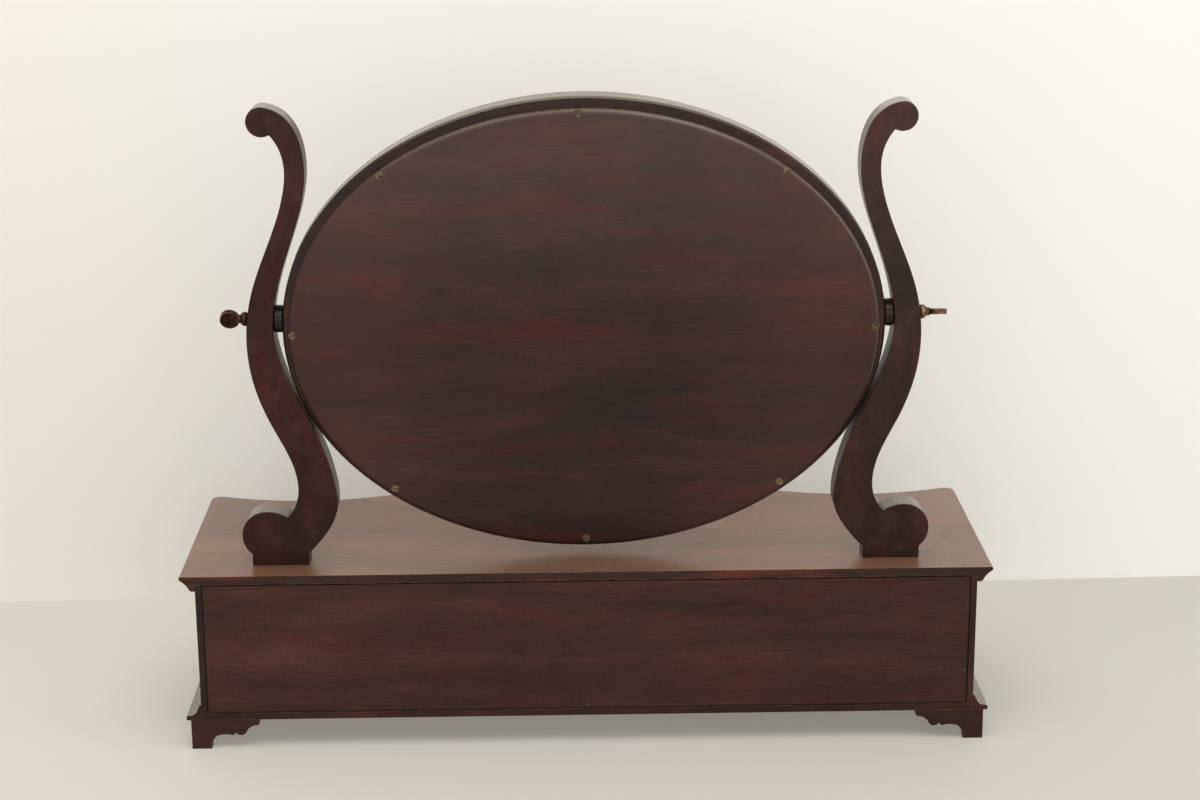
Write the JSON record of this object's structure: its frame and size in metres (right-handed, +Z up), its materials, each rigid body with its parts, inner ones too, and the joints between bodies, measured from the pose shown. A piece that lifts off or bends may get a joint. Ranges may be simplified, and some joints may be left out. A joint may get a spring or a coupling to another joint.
{
  "type": "shaving mirror",
  "caption": "Oval mirror on scrolled uprights above a low box of drawers with a serpentine front and bracket feet.",
  "frame": {"origin": "on the floor, under the middle of the top board", "axes": "+X along the box to the right of a person at the glass, +Y from that person to the back, +Z up"},
  "size_m": [0.736, 0.261, 0.5996],
  "materials": {
    "mahogany": "polished, worn",
    "mahogany_back": "dull, aged",
    "plain_wood": "bare",
    "black_wood": "polished",
    "brass": "aged",
    "iron": "dark",
    "mirror": "silvered"
  },
  "bodies": {
    "base": {"top_board": "mahogany", "cornice_left": "mahogany", "cornice_front": "mahogany", "cornice_right": "mahogany", "side_panel_left": "mahogany", "side_panel_right": "mahogany", "back_panel": "mahogany_back", "back_nails": "iron", "bottom_board": "plain_wood", "top_rail": "mahogany", "divider_left": "mahogany", "divider_right": "mahogany", "drawer_stops": "plain_wood", "base_rail_back": "plain_wood", "base_rail_front": "plain_wood", "base_rail_left": "plain_wood", "base_rail_right": "plain_wood", "base_moulding_left": "mahogany", "base_moulding_front": "mahogany", "base_moulding_right": "mahogany", "rear_bracket_left": "mahogany", "rear_bracket_right": "mahogany", "front_bracket_left": "mahogany", "front_bracket_right": "mahogany", "side_bracket_rear_left": "mahogany", "side_bracket_rear_right": "mahogany", "side_bracket_front_left": "mahogany", "side_bracket_front_right": "mahogany", "foot_blocks": "plain_wood", "standard_left": "mahogany", "standard_right": "mahogany", "standard_screws": "iron"},
    "mirror": {"mirror_frame": "mahogany", "mirror_glass": "mirror", "glass_wedges": "plain_wood", "back_board": "mahogany_back", "back_board_screws": "brass", "pivot_bushes": "brass", "spacer_left": "black_wood", "spacer_right": "black_wood"},
    "thumb_screw_left": {"thumb_screw_left": "brass"},
    "thumb_screw_right": {"thumb_screw_right": "brass"},
    "left_drawer": {"left_drawer_front": "mahogany", "left_drawer_side_left": "plain_wood", "left_drawer_side_right": "plain_wood", "left_drawer_back": "plain_wood", "left_drawer_bottom": "plain_wood", "left_drawer_knobs": "brass"},
    "centre_drawer": {"centre_drawer_front": "mahogany", "centre_drawer_side_left": "plain_wood", "centre_drawer_side_right": "plain_wood", "centre_drawer_back": "plain_wood", "centre_drawer_bottom": "plain_wood", "centre_drawer_knobs": "brass"},
    "right_drawer": {"right_drawer_front": "mahogany", "right_drawer_side_left": "plain_wood", "right_drawer_side_right": "plain_wood", "right_drawer_back": "plain_wood", "right_drawer_bottom": "plain_wood", "right_drawer_knobs": "brass"}
  },
  "joints": [
    {"name": "mirror_tilt", "type": "hinge", "parent": "base", "child": "mirror", "pos_m": [0, 0.0891, 0.3963], "axis": [1, 0, 0], "continuous": true},
    {"name": "thumb_screw_left_turn", "type": "hinge", "parent": "mirror", "child": "thumb_screw_left", "pos_m": [0, 0.0891, 0.3963], "axis": [1, 0, 0], "continuous": true},
    {"name": "thumb_screw_right_turn", "type": "hinge", "parent": "mirror", "child": "thumb_screw_right", "pos_m": [0, 0.0891, 0.3963], "axis": [1, 0, 0], "continuous": true},
    {"name": "left_drawer_slide", "type": "slide", "parent": "base", "child": "left_drawer", "axis": [0, -1, 0], "range_m": [0, 0.15]},
    {"name": "centre_drawer_slide", "type": "slide", "parent": "base", "child": "centre_drawer", "axis": [0, -1, 0], "range_m": [0, 0.15]},
    {"name": "right_drawer_slide", "type": "slide", "parent": "base", "child": "right_drawer", "axis": [0, -1, 0], "range_m": [0, 0.15]}
  ]
}
